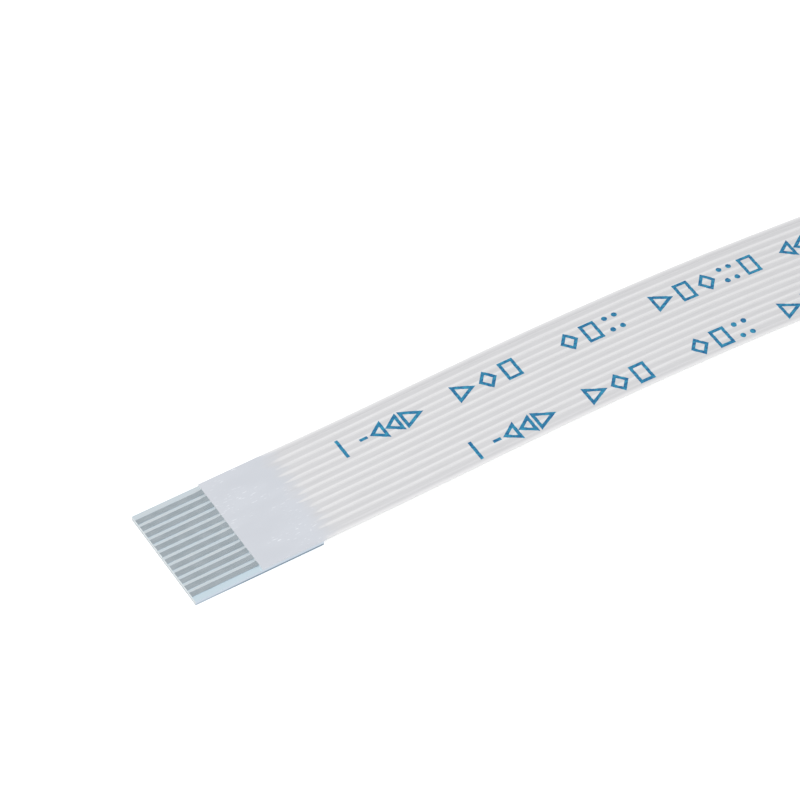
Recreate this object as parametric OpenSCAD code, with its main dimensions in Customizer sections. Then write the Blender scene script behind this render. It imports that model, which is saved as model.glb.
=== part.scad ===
// Flat flex cable for a zero-insertion-force socket. Flat tinned conductors lie side by side
// between two films that are bonded face to face around them. Both films stop short of each
// end, where the bare conductors step down onto a stiffener tape and form the contacts.
// The cable lies on a flat surface with its contacts up, arching slightly from its near end.
// +X runs along the cable, +Y across it and +Z up. The origin is under its middle.

/* [Conductors] */
// Number of conductors, side by side
conductor_count = 12; // [4:1:40]
// Distance from one conductor's centre line to the next
pitch = 0.5; // [0.45:0.05:1.25]
// Width of a conductor
conductor_w = 0.3; // [0.2:0.01:0.36]
// Thickness of a conductor
conductor_t = 0.035; // [0.025:0.005:0.1]

/* [Films] */
// Thickness of one film
film_t = 0.045; // [0.025:0.005:0.1]
// Distance from the films' side edge to the nearest conductor's centre line
edge_to_centre = 0.5; // [0.35:0.05:1.5]
// Width of the slope beside a conductor, where a film dips from its rib to the web
rib_slope = 0.05; // [0.02:0.01:0.08]
// Distance past a stiffener over which the ribs rise to their full height
rib_fade = 2; // [1:0.25:4]

/* [Ends] */
// Bare length of the conductors at each end
exposed_l = 3.9; // [2:0.1:5]
// Distance over which a bare conductor steps down from the films to the stiffener
step_l = 0.4; // [0.2:0.1:1]
// Length of a stiffener
stiffener_l = 7.5; // [6:0.5:12]
// Thickness of a stiffener
stiffener_t = 0.265; // [0.1:0.005:0.4]
// Distance over which the cable bends up from the surface to its far stiffener
settle_l = 5; // [3:0.5:8]

/* [Cable] */
// Length of the cable, measured along it
cable_l = 100; // [90:1:200]
// Longest distance between two cross-sections where the cable bends
section_step = 3; // [2:0.5:6]

/* [Hidden] */

// Height of the arch above the resting cable, every ARCH_STEP along it from the near end
ARCH_STEP = 4;
ARCH = [
    0, 0.14, 0.28, 0.42, 0.64, 0.87, 1.04, 1.13, 1.14,
    1.06, 0.87, 0.63, 0.41, 0.23, 0.10, 0.03, 0
];
arch_l = ARCH_STEP * (len(ARCH) - 1);

// Across the cable
cable_w = (conductor_count - 1) * pitch + 2 * edge_to_centre;
gap = pitch - conductor_w;
slope_w = min(rib_slope, 0.45 * gap);

// Through the cable, from the film's lower face up
sunk = conductor_t / 2;
middle = film_t + sunk;
laminate_t = 2 * middle;

// Along the cable
straight_l = stiffener_l + rib_fade;
settle_from = cable_l - straight_l - settle_l;
near_marks = [0, exposed_l - step_l, exposed_l, stiffener_l];
stations = concat(
    near_marks,
    spaced(straight_l, arch_l, ceil((arch_l - straight_l) / section_step)),
    spaced(settle_from, cable_l - straight_l, 4),
    [for (i = [len(near_marks) - 1 : -1 : 0]) cable_l - near_marks[i]]
);
last = len(stations) - 1;
film_first = 2;
film_last = last - 2;
stiff_last = 3;

function conductor_name(i) = str("conductor_", i < 10 ? "0" : "", i);
function spaced(a, b, n) = [for (i = [0 : n]) a + (b - a) * i / n];
function ease(u) = let (v = max(0, min(1, u))) v * v * (3 - 2 * v);
function conductor_y(i) = (i - 1) * pitch - (cable_w / 2 - edge_to_centre);

// Arch height at distance s: a smooth cubic through the heights in ARCH
function arch_knot(i) = ARCH[max(0, min(len(ARCH) - 1, i))];
function arch_slope(i) = i == 0 ? arch_knot(1) - arch_knot(0) : (arch_knot(i + 1) - arch_knot(i - 1)) / 2;
function arch(s) =
    let (
        i = floor(s / ARCH_STEP),
        t = s / ARCH_STEP - i,
        rise = arch_knot(i + 1) - arch_knot(i)
    )
    s >= arch_l ? 0 : arch_knot(i)
        + t * t * (3 - 2 * t) * rise
        + t * (1 - t) * (1 - t) * arch_slope(i)
        - t * t * (1 - t) * arch_slope(i + 1);

// Height of the film's lower face at distance s: on a stiffener at both ends, else on the surface
function seat(s) = stiffener_t * (
    s < arch_l
        ? 1 - ease((s - straight_l) / (arch_l - straight_l))
        : ease((s - settle_from) / settle_l)
);
function height(s) = arch(max(0, s)) + seat(s);
// Sine of the cable's angle to the surface at distance s
function incline(s) =
    let (a = max(0, s - 0.01), b = s + 0.01)
    (height(b) - height(a)) / (b - a);

// Places of the stations: distance along X, height and incline of the film's lower face
heights = [for (s = stations) height(s)];
inclines = [for (s = stations) incline(s)];
runs = [for (i = [1 : last]) sqrt(pow(stations[i] - stations[i - 1], 2) - pow(heights[i] - heights[i - 1], 2))];
reach = [for (i = 0, x = 0; i <= last; x = x + (i < last ? runs[i] : 0), i = i + 1) x];
// Point at station i, a distance h above the film's lower face
function at(i, h) = [
    reach[i] - reach[last] / 2 - h * inclines[i],
    heights[i] + h * sqrt(1 - pow(inclines[i], 2))
];

// How far the ribs stand up at station i, from 0 on the stiffeners to 1 on the free cable
function rib(i) = i <= stiff_last || i >= last - stiff_last ? 0 : 1;
// Height of a conductor's lower face at station i: down on the stiffener or up between the films
function conductor_low(i) = i < film_first || i > film_last ? 0 : film_t;

// Outline of a film's outer face across the cable, as [y, depth of the dip below the rib's top]
function outer_face(dip) = concat(
    [[-cable_w / 2, dip]],
    [for (k = [1 : conductor_count], p = [
        [-conductor_w / 2 - slope_w, dip],
        [-conductor_w / 2, 0],
        [conductor_w / 2, 0],
        [conductor_w / 2 + slope_w, dip]
    ]) [conductor_y(k) + p[0], p[1]]],
    [[cable_w / 2, dip]]
);
// Outline of a film's inner face across the cable, as [y, depth of the channel round a conductor]
function inner_face() = concat(
    [[-cable_w / 2, 0]],
    [for (k = [1 : conductor_count], p = [
        [-conductor_w / 2, 0],
        [-conductor_w / 2, sunk],
        [conductor_w / 2, sunk],
        [conductor_w / 2, 0]
    ]) [conductor_y(k) + p[0], p[1]]],
    [[cable_w / 2, 0]]
);
function reversed(list) = [for (i = [len(list) - 1 : -1 : 0]) list[i]];

// Cross-section of a film at station i. side is 1 for the top film and -1 for the bottom one
function film_ring(i, side) = concat(
    [for (p = outer_face(sunk * rib(i))) film_point(i, p[0], middle + side * (middle - p[1]))],
    [for (p = reversed(inner_face())) film_point(i, p[0], middle + side * p[1])]
);
function film_point(i, y, h) = let (p = at(i, h)) [p[0], y, p[1]];

// Two triangles that fill the quad a, b, c, d, cut from a to c or, if turned, from b to d
function quad(a, b, c, d, turned = false) =
    turned ? [[b, c, d], [b, d, a]] : [[a, b, c], [a, c, d]];

// A film: its cross-section carried through the stations from one bare end to the other
module film(side) {
    rings = [for (i = [film_first : film_last]) film_ring(i, side)];
    n = len(rings[0]);
    end = (len(rings) - 1) * n;
    walls = [
        for (i = [0 : n : end - n], j = [0 : n - 1])
            let (a = i + j, b = i + (j + 1) % n)
            each quad(a, b, b + n, a + n)
    ];
    // An end is a row of quads from the outer outline to the inner one. Its cuts keep clear of
    // the upright sides of the channels.
    caps = [
        for (j = [0 : n / 2 - 2])
            let (a = j, b = j + 1, c = n - 2 - j, d = n - 1 - j, rising = j % 4 == 1)
            each concat(
                quad(d, c, b, a, rising),
                quad(end + a, end + b, end + c, end + d, !rising)
            )
    ];
    faces = concat(walls, caps);
    polyhedron(
        points = [for (ring = rings, p = ring) p],
        faces = side > 0 ? faces : [for (f = faces) reversed(f)]
    );
}

// A strip of the laminate between stations a and b, from y on over a width w, between two
// lists of heights
module strip(a, b, y, w, low, high) {
    outline = concat(
        [for (i = [a : b]) at(i, low[i])],
        [for (i = [b : -1 : a]) at(i, high[i])]
    );
    translate([0, y + w, 0])
        rotate([90, 0, 0])
            linear_extrude(height = w)
                polygon(outline);
}

module conductor(k) {
    low = [for (i = [0 : last]) conductor_low(i)];
    high = [for (h = low) h + conductor_t];
    color("silver")
        strip(0, last, conductor_y(k) - conductor_w / 2, conductor_w, low, high);
}

module top_film() {
    color("whitesmoke")
        film(1);
}

module bottom_film() {
    color("gainsboro")
        film(-1);
}

module stiffener(a, b) {
    low = [for (i = [0 : last]) -stiffener_t];
    high = [for (i = [0 : last]) 0];
    color("lightblue")
        strip(a, b, -cable_w / 2, cable_w, low, high);
}

module near_stiffener() {
    stiffener(0, stiff_last);
}

module far_stiffener() {
    stiffener(last - stiff_last, last);
}

for (k = [1 : conductor_count])
    conductor(k);
top_film();
bottom_film();
near_stiffener();
far_stiffener();
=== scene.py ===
"""Dresses a flat flex cable: finishes for its conductors, films and stiffeners, the print on
its top film, and a pale studio stage. Everything is in metres, in the frame of the solids.
+X runs along the cable from its near end, +Y across it, +Z up."""

import math

import bmesh
import bpy
from bpy.props import FloatProperty, FloatVectorProperty, PointerProperty
from bpy.types import NodeSocket, Operator, Panel, PropertyGroup
from mathutils import Matrix, Vector
from mathutils.bvhtree import BVHTree


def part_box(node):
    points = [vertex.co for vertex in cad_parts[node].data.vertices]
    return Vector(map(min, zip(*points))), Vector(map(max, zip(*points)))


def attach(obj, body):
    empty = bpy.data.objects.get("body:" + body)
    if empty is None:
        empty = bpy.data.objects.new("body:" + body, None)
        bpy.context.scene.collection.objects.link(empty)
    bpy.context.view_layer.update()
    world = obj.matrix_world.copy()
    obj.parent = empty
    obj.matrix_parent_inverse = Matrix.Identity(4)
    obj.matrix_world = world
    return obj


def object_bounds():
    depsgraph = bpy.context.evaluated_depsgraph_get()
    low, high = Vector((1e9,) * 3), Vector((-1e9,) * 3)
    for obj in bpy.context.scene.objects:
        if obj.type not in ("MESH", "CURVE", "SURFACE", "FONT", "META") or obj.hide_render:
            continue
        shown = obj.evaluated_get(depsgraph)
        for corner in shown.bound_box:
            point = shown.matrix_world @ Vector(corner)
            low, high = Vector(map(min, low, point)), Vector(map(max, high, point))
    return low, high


bl_info = {
    "name": "Flat Flex Cable",
    "version": (1, 0, 0),
    "blender": (4, 5, 0),
    "location": "View3D > Sidebar > Flex Cable",
    "description": "Finishes, print and stage of a flat flex cable",
    "category": "Object",
}

BODY = "root"
MM = 0.001

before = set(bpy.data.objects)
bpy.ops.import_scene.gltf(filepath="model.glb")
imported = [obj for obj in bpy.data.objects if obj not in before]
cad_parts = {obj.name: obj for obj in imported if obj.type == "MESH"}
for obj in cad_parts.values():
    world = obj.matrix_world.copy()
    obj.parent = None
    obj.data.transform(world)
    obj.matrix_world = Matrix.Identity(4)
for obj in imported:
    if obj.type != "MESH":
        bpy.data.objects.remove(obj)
CAD_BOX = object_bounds()
CONDUCTORS = sorted(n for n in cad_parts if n.startswith("conductor_"))
FILMS = ("top_film", "bottom_film")
STIFFENERS = ("near_stiffener", "far_stiffener")

# Sizes that the solids give
FIRST_LOW, FIRST_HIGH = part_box(CONDUCTORS[0])
SECOND_LOW, SECOND_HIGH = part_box(CONDUCTORS[1])
FILM_LOW, FILM_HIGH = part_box("top_film")
STIFFENER_LOW, STIFFENER_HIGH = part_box("near_stiffener")
PITCH = SECOND_LOW.y - FIRST_LOW.y
FIRST_Y = (FIRST_LOW.y + FIRST_HIGH.y) / 2
CONDUCTOR_WIDTH = FIRST_HIGH.y - FIRST_LOW.y
CABLE_WIDTH = FILM_HIGH.y - FILM_LOW.y
NEAR_X, FAR_X = CAD_BOX[0].x, CAD_BOX[1].x
HALF_LENGTH = (FAR_X - NEAR_X) / 2
STIFFENER_LENGTH = STIFFENER_HIGH.x - NEAR_X
FAR_TAPE_LOW, FAR_TAPE_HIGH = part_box("far_stiffener")
TAPE_THICKNESS = FAR_TAPE_HIGH.z - FAR_TAPE_LOW.z

# How the film changes past a stiffener's end and between conductors
TINT_BEFORE_END = 0.9 * MM
RIBS_BEFORE_END = 1.6 * MM
RIBS_RISE = 1.2 * MM
LINE_IN_GAPS = 1.1
LINE_FADE_IN_GAPS = 1.9
LINE_SOFTNESS = 0.07 * MM
FILM_MARGIN = (0.10 * MM, 0.34 * MM)

# Where a stiffener's -Y margin ends, and how high the painted shade at the foot of its cut sides reaches
# The -Y margin is painted bluer. Part of this is the tape's blue seen through its clear edge, and part is
# painted light, which is why only the -Y side gets it
TAPE_PAINTED_LIGHT_MARGIN = (0.3 * MM, 0.6 * MM)
TAPE_SHADE_FOOT = (0.06 * MM, 0.15 * MM)

# The layer of ink: how far it sinks into the film, and how thick it is
INK_SUNK = 0.001 * MM
INK_THICKNESS = 0.005 * MM

# The stage
FLOOR_REACH = 2.0
FLOOR_DROP = 0.02 * MM
FLOOR_GLOW = 0.62
LAMP_PLACE = (-0.20, -0.26, 0.42)
LAMP_SIZE = 0.36


def metres(name, description, default, **limits):
    """A length that is shown in the scene's unit."""
    return FloatProperty(
        name=name, description=description, default=default, unit="LENGTH", precision=6,
        **{"min": 0.0, **limits},
    )


def factor(name, description, default, **limits):
    """A plain number from 0 to 1, unless limits say otherwise."""
    return FloatProperty(
        name=name, description=description, default=default, **{"min": 0.0, "max": 1.0, **limits}
    )


def colour(name, description, default):
    """A linear colour."""
    return FloatVectorProperty(
        name=name, description=description, default=default, size=3, subtype="COLOR",
        min=0.0, max=1.0,
    )


class ConductorLook(PropertyGroup):
    """Tin plating of the conductors."""

    tin: colour("Tin", "Plating, where it is clean", (0.66, 0.735, 0.79))
    dull_tin: colour("Dull tin", "Plating in the rolling marks", (0.52, 0.60, 0.65))
    streak_width: metres("Streak width", "Width of a rolling mark", 0.03 * MM)
    streak_length: metres("Streak length", "Length of a rolling mark", 1.6 * MM)


class FilmLook(PropertyGroup):
    """The two polyester films."""

    over_conductor: colour("Over a conductor", "White film over a conductor", (0.665, 0.665, 0.68))
    between: colour("Between conductors", "Film bonded to film", (0.765, 0.765, 0.775))
    margin: colour("Margin", "Film beside the outermost conductors", (0.815, 0.815, 0.825))
    on_stiffener: colour("On a stiffener", "Film over the blue tape", (0.62, 0.645, 0.695))
    speckle: colour("Speckle", "Small bubbles in the adhesive on the tape", (0.80, 0.83, 0.88))
    # Painted light: cut ends are painted lighter to lift the shade they get facing away from the lamp
    cut: colour("Cut", "Cut ends of the film", (0.86, 0.88, 0.90))
    fade: metres("Fade", "Length over which the blue of a tape fades past its edge", 1.4 * MM)
    ragged: metres("Ragged", "How unevenly the lines between conductors begin", 1.8 * MM)


class StiffenerLook(PropertyGroup):
    """The stiffener tapes."""

    face: colour("Face", "Tape between the contacts", (0.597, 0.65, 0.68))
    # Painted light: the bluer colour painted along the tape's -Y side
    margin: colour("Margin", "Tape along its -Y side", (0.56, 0.675, 0.745))
    back: colour("Back", "Tape seen from below", (0.36, 0.58, 0.74))
    side: colour("Side", "Cut side of the tape", (0.58, 0.66, 0.75))
    # Painted shade: the dark colour laid along the foot of the cut sides
    edge: colour("Edge", "Lower edge of the cut sides", (0.13, 0.20, 0.27))
    cut: colour("Cut", "Cut end of the tape", (0.74, 0.79, 0.80))


class PrintLook(PropertyGroup):
    """Two rows of plain marks printed on the top film."""

    ink: colour("Ink", "Ink where it lies thick", (0.012, 0.120, 0.300))
    thin_ink: colour("Thin ink", "Ink where it lies thin", (0.035, 0.310, 0.480))
    height: metres("Height", "Height of a mark", 1.3 * MM)
    stroke: metres("Stroke", "Width of a line", 0.19 * MM)
    row_one: FloatProperty(
        name="First row", description="Middle of the first row, from the cable's middle",
        default=1.42 * MM, unit="LENGTH", precision=6,
    )
    row_two: FloatProperty(
        name="Second row", description="Middle of the second row, from the cable's middle",
        default=-2.33 * MM, unit="LENGTH", precision=6,
    )
    shift: metres("Shift", "How far the second row starts past the first", 5.78 * MM)
    repeat: metres("Repeat", "Length after which the marks repeat", 39.0 * MM)
    start: metres("Start", "Near end of the cable to the first mark", 11.4 * MM)


class StageLook(PropertyGroup):
    """Floor, lights and camera."""

    floor: colour("Floor", "Pale floor", (0.80, 0.80, 0.80))
    sky: factor("Sky", "Light from all round", 0.62, max=2.0)
    key: factor("Key lamp", "Power of the large lamp in watts", 1.6, max=20.0)
    azimuth: FloatProperty(
        name="Azimuth", description="Direction that the camera looks in, 0 along +Y",
        default=math.radians(-34.04), subtype="ANGLE",
    )
    elevation: FloatProperty(
        name="Elevation", description="Height of the camera over the horizon",
        default=math.radians(47.79), subtype="ANGLE",
    )
    roll: FloatProperty(
        name="Roll", description="Turn of the camera about its own axis",
        default=math.radians(3.0), subtype="ANGLE",
    )
    distance: metres("Distance", "Camera to the point it looks at", 0.22)
    lens: FloatProperty(name="Lens", description="Focal length", default=189.0, unit="CAMERA")
    aim_along: metres("Aim along", "Near end to the point looked at, along the cable", 16.19 * MM)
    aim_across: metres("Aim across", "Cable's -Y side to the point looked at", 6.67 * MM)


# ---- Shader helpers ----


def feed(socket, source):
    """Links a source to a socket, or writes a plain value on it."""
    if isinstance(source, NodeSocket):
        socket.id_data.links.new(source, socket)
    elif hasattr(source, "__len__") and socket.type == "RGBA":
        socket.default_value = (*source[:3], 1.0)
    else:
        socket.default_value = source


def compute(tree, operation, *sources):
    """A Math node's result."""
    node = tree.nodes.new("ShaderNodeMath")
    node.operation = operation
    for socket, source in zip(node.inputs, sources):
        feed(socket, source)
    return node.outputs["Value"]


def fade(tree, value, start, end, low=0.0, high=1.0):
    """low where value is start, high where it is end, and smooth in between."""
    node = tree.nodes.new("ShaderNodeMapRange")
    node.interpolation_type = "SMOOTHSTEP"
    for name, source in (
        ("Value", value), ("From Min", start), ("From Max", end), ("To Min", low), ("To Max", high)
    ):
        feed(node.inputs[name], source)
    return node.outputs["Result"]


def blend_colours(tree, share, first, second):
    """first where share is 0 and second where it is 1."""
    node = tree.nodes.new("ShaderNodeMix")
    node.data_type = "RGBA"
    feed(node.inputs[0], share)
    feed(node.inputs[6], first)
    feed(node.inputs[7], second)
    return node.outputs[2]


def axes_of(tree, vector):
    """The X, Y and Z of a vector."""
    node = tree.nodes.new("ShaderNodeSeparateXYZ")
    feed(node.inputs[0], vector)
    return node.outputs[0], node.outputs[1], node.outputs[2]


def noise(tree, vector, length, width, detail=2.0, roughness=0.5, at=(0.0, 0.0, 0.0)):
    """A noise whose grains are about that long in X and that wide in Y and Z."""
    mapping = tree.nodes.new("ShaderNodeMapping")
    feed(mapping.inputs["Vector"], vector)
    mapping.inputs["Location"].default_value = at
    mapping.inputs["Scale"].default_value = (1 / length, 1 / width, 1 / width)
    node = tree.nodes.new("ShaderNodeTexNoise")
    feed(node.inputs["Vector"], mapping.outputs[0])
    node.inputs["Scale"].default_value = 1.0
    node.inputs["Detail"].default_value = detail
    node.inputs["Roughness"].default_value = roughness
    return node.outputs[0]


def new_group(name, inputs, outputs):
    """An empty node group with float or vector inputs and float outputs, its inputs' node, and
    its outputs' node."""
    tree = bpy.data.node_groups.new(name, "ShaderNodeTree")
    for label, kind in inputs:
        tree.interface.new_socket(label, in_out="INPUT", socket_type=kind)
    for label in outputs:
        tree.interface.new_socket(label, in_out="OUTPUT", socket_type="NodeSocketFloat")
    return tree, tree.nodes.new("NodeGroupInput").outputs, tree.nodes.new("NodeGroupOutput").inputs


def place_group(tree, group, **sources):
    """A group's node in a material, with its inputs set or linked."""
    node = tree.nodes.new("ShaderNodeGroup")
    node.node_tree = group
    for label, source in sources.items():
        feed(node.inputs[label.replace("_", " ")], source)
    return node.outputs


def new_material(name, metallic=0.0, specular=0.5):
    """A material with a Principled shader, its tree, the shader's inputs and Object coordinates."""
    material = bpy.data.materials.new(name)
    material.use_nodes = True
    tree = material.node_tree
    shader = next(n for n in tree.nodes if n.type == "BSDF_PRINCIPLED")
    shader.inputs["Metallic"].default_value = metallic
    shader.inputs["Specular IOR Level"].default_value = specular
    place = tree.nodes.new("ShaderNodeTexCoord").outputs["Object"]
    return material, tree, shader.inputs, place


def add_bump(tree, shader, height, depth):
    """Feeds a shader's normal from a height mask that is depth metres deep."""
    node = tree.nodes.new("ShaderNodeBump")
    node.inputs["Strength"].default_value = 1.0
    node.inputs["Distance"].default_value = depth
    feed(node.inputs["Height"], height)
    feed(shader["Normal"], node.outputs[0])


def bands_group():
    """Between is 1 on the line between two conductors, which narrows to nothing as Strength
    falls to 0; In Margin is 1 beside them all."""
    group = bpy.data.node_groups.get("Conductor bands")
    if group:
        return group
    group, given, made = new_group(
        "Conductor bands",
        [("Vector", "NodeSocketVector"), ("Softness", "NodeSocketFloat"), ("Strength", "NodeSocketFloat")],
        ["Between", "In Margin"],
    )
    _, across, _ = axes_of(group, given["Vector"])
    turns = compute(group, "DIVIDE", compute(group, "SUBTRACT", across, FIRST_Y), PITCH)
    off = compute(group, "ABSOLUTE", compute(group, "WRAP", turns, 0.5, -0.5))
    off = compute(group, "MULTIPLY", off, PITCH)
    half_gap = (PITCH - CONDUCTOR_WIDTH) / 2
    weak = compute(group, "SUBTRACT", 1.0, given["Strength"])
    off = compute(group, "SUBTRACT", off, compute(group, "MULTIPLY", weak, LINE_FADE_IN_GAPS * half_gap))
    rise = PITCH / 2 - LINE_IN_GAPS * half_gap
    line = fade(
        group, off,
        compute(group, "SUBTRACT", rise, given["Softness"]),
        compute(group, "ADD", rise, given["Softness"]),
    )
    outermost = abs(FIRST_Y) + CONDUCTOR_WIDTH / 2
    side = compute(group, "ABSOLUTE", across)
    inside = compute(group, "LESS_THAN", side, outermost)
    feed(made["Between"], compute(group, "MULTIPLY", line, inside))
    start, end = (outermost + reach for reach in FILM_MARGIN)
    feed(made["In Margin"], fade(group, side, start, end))
    return group


def zones_group():
    """On Stiffener is 1 over a stiffener and fades past it; Ribbed rises from 0 to 1 there, and
    starts sooner or later from one line to the next."""
    group = bpy.data.node_groups.get("Stiffener zones")
    if group:
        return group
    group, given, made = new_group(
        "Stiffener zones",
        [("Vector", "NodeSocketVector"), ("Fade", "NodeSocketFloat"), ("Ragged", "NodeSocketFloat")],
        ["On Stiffener", "Ribbed"],
    )
    along, _, _ = axes_of(group, given["Vector"])
    from_end = compute(group, "SUBTRACT", HALF_LENGTH, compute(group, "ABSOLUTE", along))
    clouds = noise(group, given["Vector"], 1.5 * MM, 0.7 * MM)
    start = compute(
        group, "ADD", STIFFENER_LENGTH - TINT_BEFORE_END,
        compute(group, "MULTIPLY", clouds, given["Fade"]),
    )
    tinted_to = compute(group, "ADD", start, given["Fade"])
    feed(made["On Stiffener"], fade(group, from_end, start, tinted_to, 1.0, 0.0))
    uneven = noise(group, given["Vector"], 40.0 * MM, 0.35 * MM, detail=1.0)
    broken = noise(group, given["Vector"], 0.5 * MM, 0.3 * MM, at=(2.0, 9.0, 1.0))
    uneven = compute(group, "ADD", uneven, compute(group, "MULTIPLY", broken, 0.6))
    start = compute(
        group, "ADD", STIFFENER_LENGTH - RIBS_BEFORE_END,
        compute(group, "MULTIPLY", uneven, given["Ragged"]),
    )
    ribbed_from = compute(group, "ADD", start, RIBS_RISE)
    feed(made["Ribbed"], fade(group, from_end, start, ribbed_from))
    return group


# ---- Finishes ----


def tin_finish(look):
    """Tin-plated strip: rolling marks along it, and a slow change of tint."""
    material, tree, shader, place = new_material("Tin plating", metallic=1.0)
    streaks = noise(tree, place, look.streak_length, look.streak_width, detail=3.0, roughness=0.6)
    clouds = noise(tree, place, 0.9 * MM, 0.5 * MM, detail=2.0, at=(3.1, 1.7, 0.4))
    both = compute(tree, "ADD", streaks, compute(tree, "MULTIPLY", clouds, 0.5))
    share = fade(tree, both, 0.55, 1.0)
    feed(shader["Base Color"], blend_colours(tree, share, look.dull_tin, look.tin))
    feed(shader["Roughness"], fade(tree, streaks, 0.3, 0.7, 0.30, 0.20))
    add_bump(tree, shader, streaks, 0.0012 * MM)
    return material


def film_finish(name, look):
    """White film: grey over the conductors, nearly white between them, and bluish and smooth
    where it covers a stiffener."""
    material, tree, shader, place = new_material(name, specular=0.35)
    zones = place_group(tree, zones_group(), Vector=place, Fade=look.fade, Ragged=look.ragged)
    bands = place_group(
        tree, bands_group(), Vector=place, Softness=LINE_SOFTNESS, Strength=zones["Ribbed"]
    )
    long_marks = noise(tree, place, 2.2 * MM, 0.09 * MM, detail=3.0, roughness=0.6)
    clouds = noise(tree, place, 3.0 * MM, 1.2 * MM, detail=2.0, at=(7.0, 2.0, 0.0))
    grey = blend_colours(
        tree, fade(tree, long_marks, 0.35, 0.75),
        look.over_conductor, [0.94 * c for c in look.over_conductor],
    )
    tape = blend_colours(
        tree, fade(tree, clouds, 0.3, 0.7), look.on_stiffener, [1.04 * c for c in look.on_stiffener]
    )
    grains = noise(tree, place, 0.34 * MM, 0.07 * MM, detail=1.0, at=(1.0, 5.0, 2.0))
    specks = fade(tree, grains, 0.64, 0.72)
    specks = compute(tree, "MULTIPLY", specks, fade(tree, clouds, 0.42, 0.58))
    tape = blend_colours(tree, specks, tape, look.speckle)
    base = blend_colours(tree, zones["On Stiffener"], grey, tape)
    worn = fade(tree, long_marks, 0.25, 0.60, 0.55, 1.0)
    line = compute(tree, "MULTIPLY", bands["Between"], worn)
    base = blend_colours(tree, line, base, look.between)
    rim = compute(tree, "MULTIPLY", bands["In Margin"], zones["Ribbed"])
    base = blend_colours(tree, rim, base, look.margin)
    # Painted light: faces that point along X, the film's cut ends, are painted lighter to lift their shade
    normal = tree.nodes.new("ShaderNodeNewGeometry").outputs["Normal"]
    facing_x, _, _ = axes_of(tree, normal)
    cut = fade(tree, compute(tree, "ABSOLUTE", facing_x), 0.6, 0.9)
    feed(shader["Base Color"], blend_colours(tree, cut, base, look.cut))
    feed(shader["Roughness"], fade(tree, long_marks, 0.3, 0.7, 0.34, 0.46))
    add_bump(tree, shader, long_marks, 0.002 * MM)
    return material


def stiffener_finish(name, look):
    """Blue polyester tape: pale from above, with painted shade along the lower edges of its cut sides."""
    low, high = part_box(name)
    tilt = (high.z - low.z - TAPE_THICKNESS) / (high.x - low.x)
    material, tree, shader, place = new_material(name, specular=0.4)
    normal = tree.nodes.new("ShaderNodeNewGeometry").outputs["Normal"]
    facing_x, _, facing_z = axes_of(tree, normal)
    along, across, height = axes_of(tree, place)
    from_end = compute(tree, "SUBTRACT", HALF_LENGTH, compute(tree, "ABSOLUTE", along))
    height = compute(tree, "SUBTRACT", height, low.z)
    height = compute(tree, "SUBTRACT", height, compute(tree, "MULTIPLY", from_end, tilt))
    marks = noise(tree, place, 1.2 * MM, 0.3 * MM, detail=3.0)
    clouds = noise(tree, place, 2.5 * MM, 1.5 * MM, at=(4.0, 0.0, 1.0))
    bluer = [0.96 * look.face[0], look.face[1], 1.03 * look.face[2]]
    face = blend_colours(tree, fade(tree, marks, 0.3, 0.7), look.face, bluer)
    # Painted light: the face turns to the margin colour towards the -Y side
    start, end = (reach - CABLE_WIDTH / 2 for reach in TAPE_PAINTED_LIGHT_MARGIN)
    margin = fade(tree, across, start, end, 1.0, 0.0)
    face = blend_colours(tree, margin, face, look.margin)
    back = blend_colours(
        tree, fade(tree, clouds, 0.3, 0.7), look.back, [0.92 * c for c in look.back]
    )
    base = blend_colours(tree, fade(tree, facing_z, -0.5, 0.5), back, face)
    upright = fade(tree, compute(tree, "ABSOLUTE", facing_z), 0.4, 0.8, 1.0, 0.0)
    # Painted shade: the foot of the cut sides is darkened towards the edge colour, more so away from the
    # end, and the cut end gets half of it
    foot_shade = fade(tree, height, *TAPE_SHADE_FOOT, 1.0, 0.0)
    lateral = fade(tree, compute(tree, "ABSOLUTE", facing_x), 0.4, 0.8, 1.0, 0.0)
    shade = fade(tree, from_end, 0.5 * MM, 3.5 * MM, 0.45, 1.0)
    side = blend_colours(tree, compute(tree, "MULTIPLY", foot_shade, shade), look.side, look.edge)
    end = blend_colours(tree, compute(tree, "MULTIPLY", foot_shade, 0.5), look.cut, look.edge)
    base = blend_colours(tree, upright, base, blend_colours(tree, lateral, end, side))
    feed(shader["Base Color"], base)
    feed(shader["Roughness"], fade(tree, marks, 0.3, 0.7, 0.30, 0.42))
    add_bump(tree, shader, marks, 0.0015 * MM)
    return material


def ink_finish(look):
    """Blue ink, a little thinner here and there."""
    material, tree, shader, place = new_material("Blue ink", specular=0.3)
    grain = noise(tree, place, 0.25 * MM, 0.16 * MM, detail=4.0, roughness=0.65)
    thin = fade(tree, grain, 0.35, 0.68)
    feed(shader["Base Color"], blend_colours(tree, thin, look.ink, look.thin_ink))
    feed(shader["Roughness"], fade(tree, grain, 0.3, 0.7, 0.42, 0.6))
    return material


def dress(names, material):
    """Gives nodes of the frame a material."""
    for name in names:
        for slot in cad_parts[name].material_slots:
            slot.material = material


# ---- Print ----


def make_piece(name, mesh):
    """An object of that mesh, at the origin."""
    data = bpy.data.meshes.new(name)
    mesh.to_mesh(data)
    mesh.free()
    piece = bpy.data.objects.new(name, data)
    bpy.context.scene.collection.objects.link(piece)
    return piece


def bar(mesh, look):
    """An upright bar."""
    made = bmesh.ops.create_grid(mesh, x_segments=1, y_segments=1, size=0.5)["verts"]
    bmesh.ops.scale(mesh, vec=(look.stroke, look.height, 1.0), verts=made)
    return made


def dash(mesh, look):
    """A short level bar."""
    made = bmesh.ops.create_grid(mesh, x_segments=1, y_segments=1, size=0.5)["verts"]
    bmesh.ops.scale(mesh, vec=(0.36 * look.height, look.stroke, 1.0), verts=made)
    return made


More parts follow.
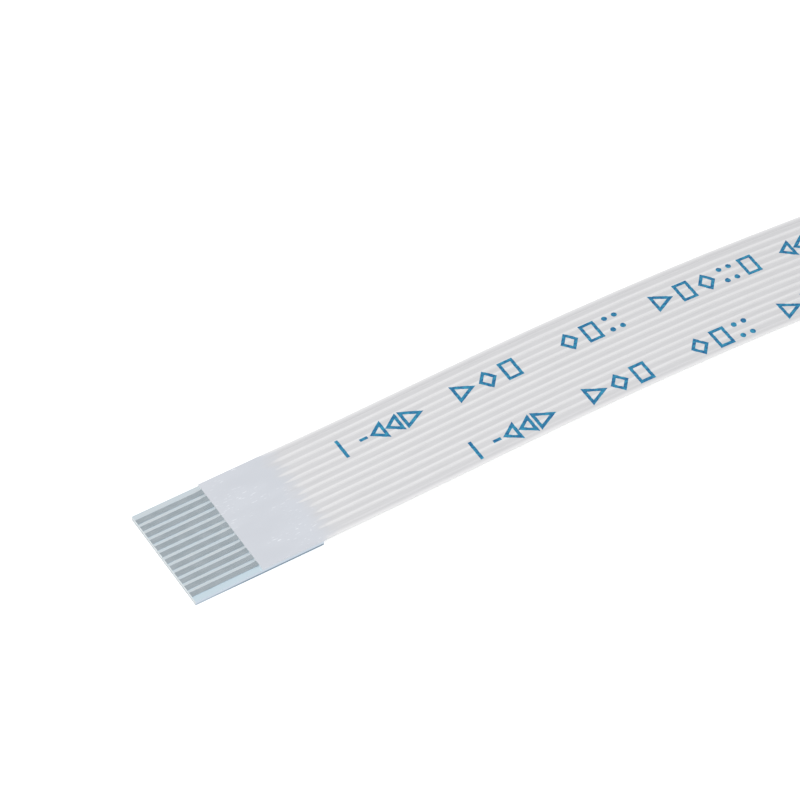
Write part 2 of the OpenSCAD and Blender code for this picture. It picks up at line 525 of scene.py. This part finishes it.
def outline(mesh, look, corners, turn, width):
    """The outline of a shape with equal sides, as high as a mark and that wide."""
    made = bmesh.ops.create_circle(mesh, segments=corners, radius=1.0, cap_ends=True)["verts"]
    bmesh.ops.rotate(mesh, cent=(0, 0, 0), matrix=Matrix.Rotation(turn, 3, "Z"), verts=made)
    low = Vector(map(min, zip(*(v.co for v in made))))
    high = Vector(map(max, zip(*(v.co for v in made))))
    size = high - low
    bmesh.ops.translate(mesh, vec=-(low + high) / 2, verts=made)
    bmesh.ops.scale(mesh, vec=(width / size.x, look.height / size.y, 1.0), verts=made)
    inner = list({f for v in made for f in v.link_faces})
    ring = bmesh.ops.inset_region(
        mesh, faces=inner, thickness=look.stroke, use_even_offset=True, use_boundary=True
    )["faces"]
    bmesh.ops.delete(mesh, geom=inner, context="FACES")
    return list({v for f in ring for v in f.verts})


def triangle(mesh, look):
    """A triangle that points to -Y."""
    return outline(mesh, look, 3, -math.pi / 2, 0.98 * look.height)


def twin_triangles(mesh, look):
    """Two narrow triangles side by side."""
    made = []
    for side in (-1, 1):
        one = outline(mesh, look, 3, math.pi / 2, 0.72 * look.height)
        bmesh.ops.translate(mesh, vec=(side * 0.36 * look.height, 0, 0), verts=one)
        made += one
    return made


def diamond(mesh, look):
    """A square that stands on its corner."""
    return outline(mesh, look, 4, 0.0, 0.86 * look.height)


def oblong(mesh, look):
    """An upright rectangle."""
    return outline(mesh, look, 4, math.pi / 4, 0.72 * look.height)


def four_dots(mesh, look):
    """Four filled dots in a square."""
    made = []
    for x in (-1, 1):
        for y in (-1, 1):
            dot = bmesh.ops.create_circle(
                mesh, segments=16, radius=0.85 * look.stroke, cap_ends=True
            )["verts"]
            bmesh.ops.translate(
                mesh, vec=(x * 0.24 * look.height, y * 0.34 * look.height, 0), verts=dot
            )
            made += dot
    return made


# The groups of marks in one repeat: where each begins, in millimetres, and its marks in order.
# Each mark takes up the advance below, and the narrow and wide ones have their own.
GROUPS = (
    (0.0, (bar, dash, twin_triangles, triangle)),
    (7.5, (triangle, diamond, oblong)),
    (14.0, (diamond, oblong, four_dots)),
    (20.0, (triangle, oblong, diamond, four_dots, oblong)),
    (28.5, (twin_triangles, diamond, bar)),
)
ADVANCE = 1.4
OWN_ADVANCES = {bar: 1.3, dash: 1.3, twin_triangles: 1.7}


def mark_places():
    """Each mark of one repeat, with its distance from the first in millimetres."""
    places = []
    for place, marks in GROUPS:
        for draw in marks:
            places.append((draw, place))
            place += OWN_ADVANCES.get(draw, ADVANCE)
    return places


def print_row(name, look, middle, start):
    """One row of marks, laid on the top film: a thin closed layer that follows its ribs."""
    mesh = bmesh.new()
    places = mark_places()
    from_near = start
    while from_near + places[-1][1] * MM < 2 * HALF_LENGTH - STIFFENER_LENGTH - 2 * MM:
        for draw, place in places:
            made = draw(mesh, look)
            at = (NEAR_X + from_near + place * MM, middle, 0)
            bmesh.ops.translate(mesh, vec=at, verts=made)
        from_near += look.repeat
    cut_along_ribs(mesh, middle, look.height)
    lay_on_film(mesh)
    return make_piece(name, mesh)


def cut_along_ribs(mesh, middle, height):
    """Cuts the marks along each fold of the ribs under them, so that they can bend there."""
    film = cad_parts["top_film"].data
    folds = sorted({round(v.co.y, 7) for v in film.vertices})
    for fold in folds:
        if abs(fold - middle) < height:
            bmesh.ops.bisect_plane(
                mesh, geom=mesh.verts[:] + mesh.edges[:] + mesh.faces[:], dist=1e-8,
                plane_co=(0, fold, 0), plane_no=(0, 1, 0),
            )


def lay_on_film(mesh):
    """Drops flat marks onto the top film and gives them the thickness of a layer of ink."""
    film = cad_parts["top_film"].data
    corners = [v.co for v in film.vertices]
    surface = BVHTree.FromPolygons(corners, [p.vertices[:] for p in film.polygons])
    for vertex in mesh.verts:
        above = Vector((vertex.co.x, vertex.co.y, CAD_BOX[1].z + MM))
        hit, _, _, _ = surface.ray_cast(above, (0, 0, -1))
        if hit is None:
            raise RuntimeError("a printed mark lies beside the top film")
        vertex.co.z = hit.z - INK_SUNK
    bmesh.ops.recalc_face_normals(mesh, faces=mesh.faces[:])
    for face in mesh.faces:
        if face.normal.z < 0:
            face.normal_flip()
    layer = bmesh.ops.extrude_face_region(mesh, geom=mesh.faces[:])["geom"]
    top = [v for v in layer if isinstance(v, bmesh.types.BMVert)]
    bmesh.ops.translate(mesh, vec=(0, 0, INK_THICKNESS), verts=top)
    bmesh.ops.recalc_face_normals(mesh, faces=mesh.faces[:])


# ---- Operators ----


class FFC_OT_conductors(Operator):
    """Gives the conductors their tin plating"""

    bl_idname = "flex_cable.conductors"
    bl_label = "Finish Conductors"

    def execute(self, context):
        dress(CONDUCTORS, tin_finish(context.scene.ffc_conductors))
        return {"FINISHED"}


class FFC_OT_films(Operator):
    """Gives the two films their finish"""

    bl_idname = "flex_cable.films"
    bl_label = "Finish Films"

    def execute(self, context):
        for name in FILMS:
            dress([name], film_finish(name, context.scene.ffc_films))
        return {"FINISHED"}


class FFC_OT_stiffeners(Operator):
    """Gives the stiffener tapes their finish"""

    bl_idname = "flex_cable.stiffeners"
    bl_label = "Finish Stiffeners"

    def execute(self, context):
        for name in STIFFENERS:
            dress([name], stiffener_finish(name, context.scene.ffc_stiffeners))
        return {"FINISHED"}


class FFC_OT_print(Operator):
    """Prints two rows of plain marks on the top film"""

    bl_idname = "flex_cable.print_marks"
    bl_label = "Print Marks"

    def execute(self, context):
        look = context.scene.ffc_print
        ink = ink_finish(look)
        for name, middle, start in (
            ("print_row_one", look.row_one, look.start),
            ("print_row_two", look.row_two, look.start + look.shift),
        ):
            piece = print_row(name, look, middle, start)
            piece.data.materials.append(ink)
            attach(piece, BODY)
        return {"FINISHED"}


class FFC_OT_cord(Operator):
    bl_idname = "flex_cable.cord"
    bl_label = "Declare Cable"

    def execute(self, context):
        return {"FINISHED"}


class FFC_OT_stage(Operator):
    """Lays the floor, hangs the lights and sets the camera"""

    bl_idname = "flex_cable.stage"
    bl_label = "Set Stage"

    def execute(self, context):
        look = context.scene.ffc_stage
        lay_floor(look)
        light_sky(look)
        hang_lamp("Key lamp", look.key, Vector(LAMP_PLACE), LAMP_SIZE)
        set_camera(look)
        context.scene.view_settings.view_transform = "Standard"
        return {"FINISHED"}


# ---- Stage ----


def lay_floor(look):
    """A wide pale floor that the camera sees white, with the cable's shadow on it."""
    mesh = bmesh.new()
    bmesh.ops.create_grid(mesh, x_segments=1, y_segments=1, size=FLOOR_REACH)
    bmesh.ops.translate(mesh, vec=(0, 0, CAD_BOX[0].z - FLOOR_DROP), verts=mesh.verts[:])
    floor = make_piece("Floor", mesh)
    material, tree, shader, _ = new_material("Pale floor", specular=0.1)
    feed(shader["Roughness"], 0.9)
    feed(shader["Base Color"], look.floor)
    rays = tree.nodes.new("ShaderNodeLightPath").outputs
    seen = compute(tree, "MAXIMUM", rays["Is Camera Ray"], rays["Is Glossy Ray"])
    seen = compute(tree, "MAXIMUM", seen, rays["Is Transmission Ray"])
    glow = tree.nodes.new("ShaderNodeEmission")
    feed(glow.inputs["Strength"], compute(tree, "MULTIPLY", seen, FLOOR_GLOW))
    both = tree.nodes.new("ShaderNodeAddShader")
    output = next(n for n in tree.nodes if n.type == "OUTPUT_MATERIAL")
    principled = next(n for n in tree.nodes if n.type == "BSDF_PRINCIPLED")
    feed(both.inputs[0], principled.outputs[0])
    feed(both.inputs[1], glow.outputs[0])
    feed(output.inputs["Surface"], both.outputs[0])
    floor.data.materials.append(material)


def light_sky(look):
    """Even light from all round, white where the camera sees it."""
    world = bpy.data.worlds.new("Studio")
    bpy.context.scene.world = world
    world.use_nodes = True
    tree = world.node_tree
    background = next(n for n in tree.nodes if n.type == "BACKGROUND")
    background.inputs["Color"].default_value = (1.0, 1.0, 1.0, 1.0)
    rays = tree.nodes.new("ShaderNodeLightPath").outputs
    feed(
        background.inputs["Strength"],
        fade(tree, rays["Is Camera Ray"], 0.0, 1.0, look.sky, 1.0),
    )


def hang_lamp(name, power, place, size):
    """A square lamp that faces the middle of the cable."""
    lamp = bpy.data.lights.new(name, "AREA")
    lamp.energy = power
    lamp.size = size
    holder = bpy.data.objects.new(name, lamp)
    bpy.context.scene.collection.objects.link(holder)
    holder.location = place
    holder.rotation_mode = "QUATERNION"
    holder.rotation_quaternion = (-place).to_track_quat("-Z", "Y")


def set_camera(look):
    """A long lens that looks down on the near end from beside it."""
    back = Vector((
        math.sin(look.azimuth) * math.cos(look.elevation),
        -math.cos(look.azimuth) * math.cos(look.elevation),
        math.sin(look.elevation),
    ))
    level = Vector((math.cos(look.azimuth), math.sin(look.azimuth), 0))
    upright = back.cross(level)
    right = level * math.cos(look.roll) + upright * math.sin(look.roll)
    up = upright * math.cos(look.roll) - level * math.sin(look.roll)
    aim = Vector((NEAR_X + look.aim_along, FILM_LOW.y + look.aim_across, CAD_BOX[0].z))
    data = bpy.data.cameras.new("Camera")
    data.sensor_fit = "HORIZONTAL"
    data.sensor_width = 36.0
    data.lens = look.lens
    data.clip_start = 0.01
    data.clip_end = 20.0
    camera = bpy.data.objects.new("Camera", data)
    bpy.context.scene.collection.objects.link(camera)
    camera.rotation_mode = "QUATERNION"
    camera.rotation_quaternion = Matrix((right, up, back)).transposed().to_quaternion()
    camera.location = aim + back * look.distance
    bpy.context.scene.camera = camera


# ---- Panel and run ----


class FFC_PT_panel(Panel):
    """Lists the steps that build the cable's looks"""

    bl_label = "Flat Flex Cable"
    bl_idname = "FFC_PT_panel"
    bl_space_type = "VIEW_3D"
    bl_region_type = "UI"
    bl_category = "Flex Cable"

    def draw(self, context):
        for operator, owner in STEPS:
            box = self.layout.box()
            box.operator(operator.bl_idname)
            if owner:
                look = getattr(context.scene, owner)
                for name in look.bl_rna.properties.keys():
                    if name not in ("rna_type", "name"):
                        box.prop(look, name)


LOOKS = {
    "ffc_conductors": ConductorLook,
    "ffc_films": FilmLook,
    "ffc_stiffeners": StiffenerLook,
    "ffc_print": PrintLook,
    "ffc_stage": StageLook,
}
STEPS = (
    (FFC_OT_conductors, "ffc_conductors"),
    (FFC_OT_films, "ffc_films"),
    (FFC_OT_stiffeners, "ffc_stiffeners"),
    (FFC_OT_print, "ffc_print"),
    (FFC_OT_cord, None),
    (FFC_OT_stage, "ffc_stage"),
)


def register():
    """Adds the looks, the operators and the panel to Blender."""
    for look in LOOKS.values():
        bpy.utils.register_class(look)
    for operator, _ in STEPS:
        bpy.utils.register_class(operator)
    bpy.utils.register_class(FFC_PT_panel)
    for name, look in LOOKS.items():
        setattr(bpy.types.Scene, name, PointerProperty(type=look))


def unregister():
    """Takes them away again."""
    for name in LOOKS:
        delattr(bpy.types.Scene, name)
    bpy.utils.unregister_class(FFC_PT_panel)
    for operator, _ in reversed(STEPS):
        bpy.utils.unregister_class(operator)
    for look in reversed(LOOKS.values()):
        bpy.utils.unregister_class(look)


def main():
    """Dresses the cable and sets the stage."""
    register()
    bpy.ops.flex_cable.conductors()
    bpy.ops.flex_cable.films()
    bpy.ops.flex_cable.stiffeners()
    bpy.ops.flex_cable.print_marks()
    bpy.ops.flex_cable.cord()
    bpy.ops.flex_cable.stage()
    bpy.context.view_layer.update()


if __name__ == "__main__":
    main()
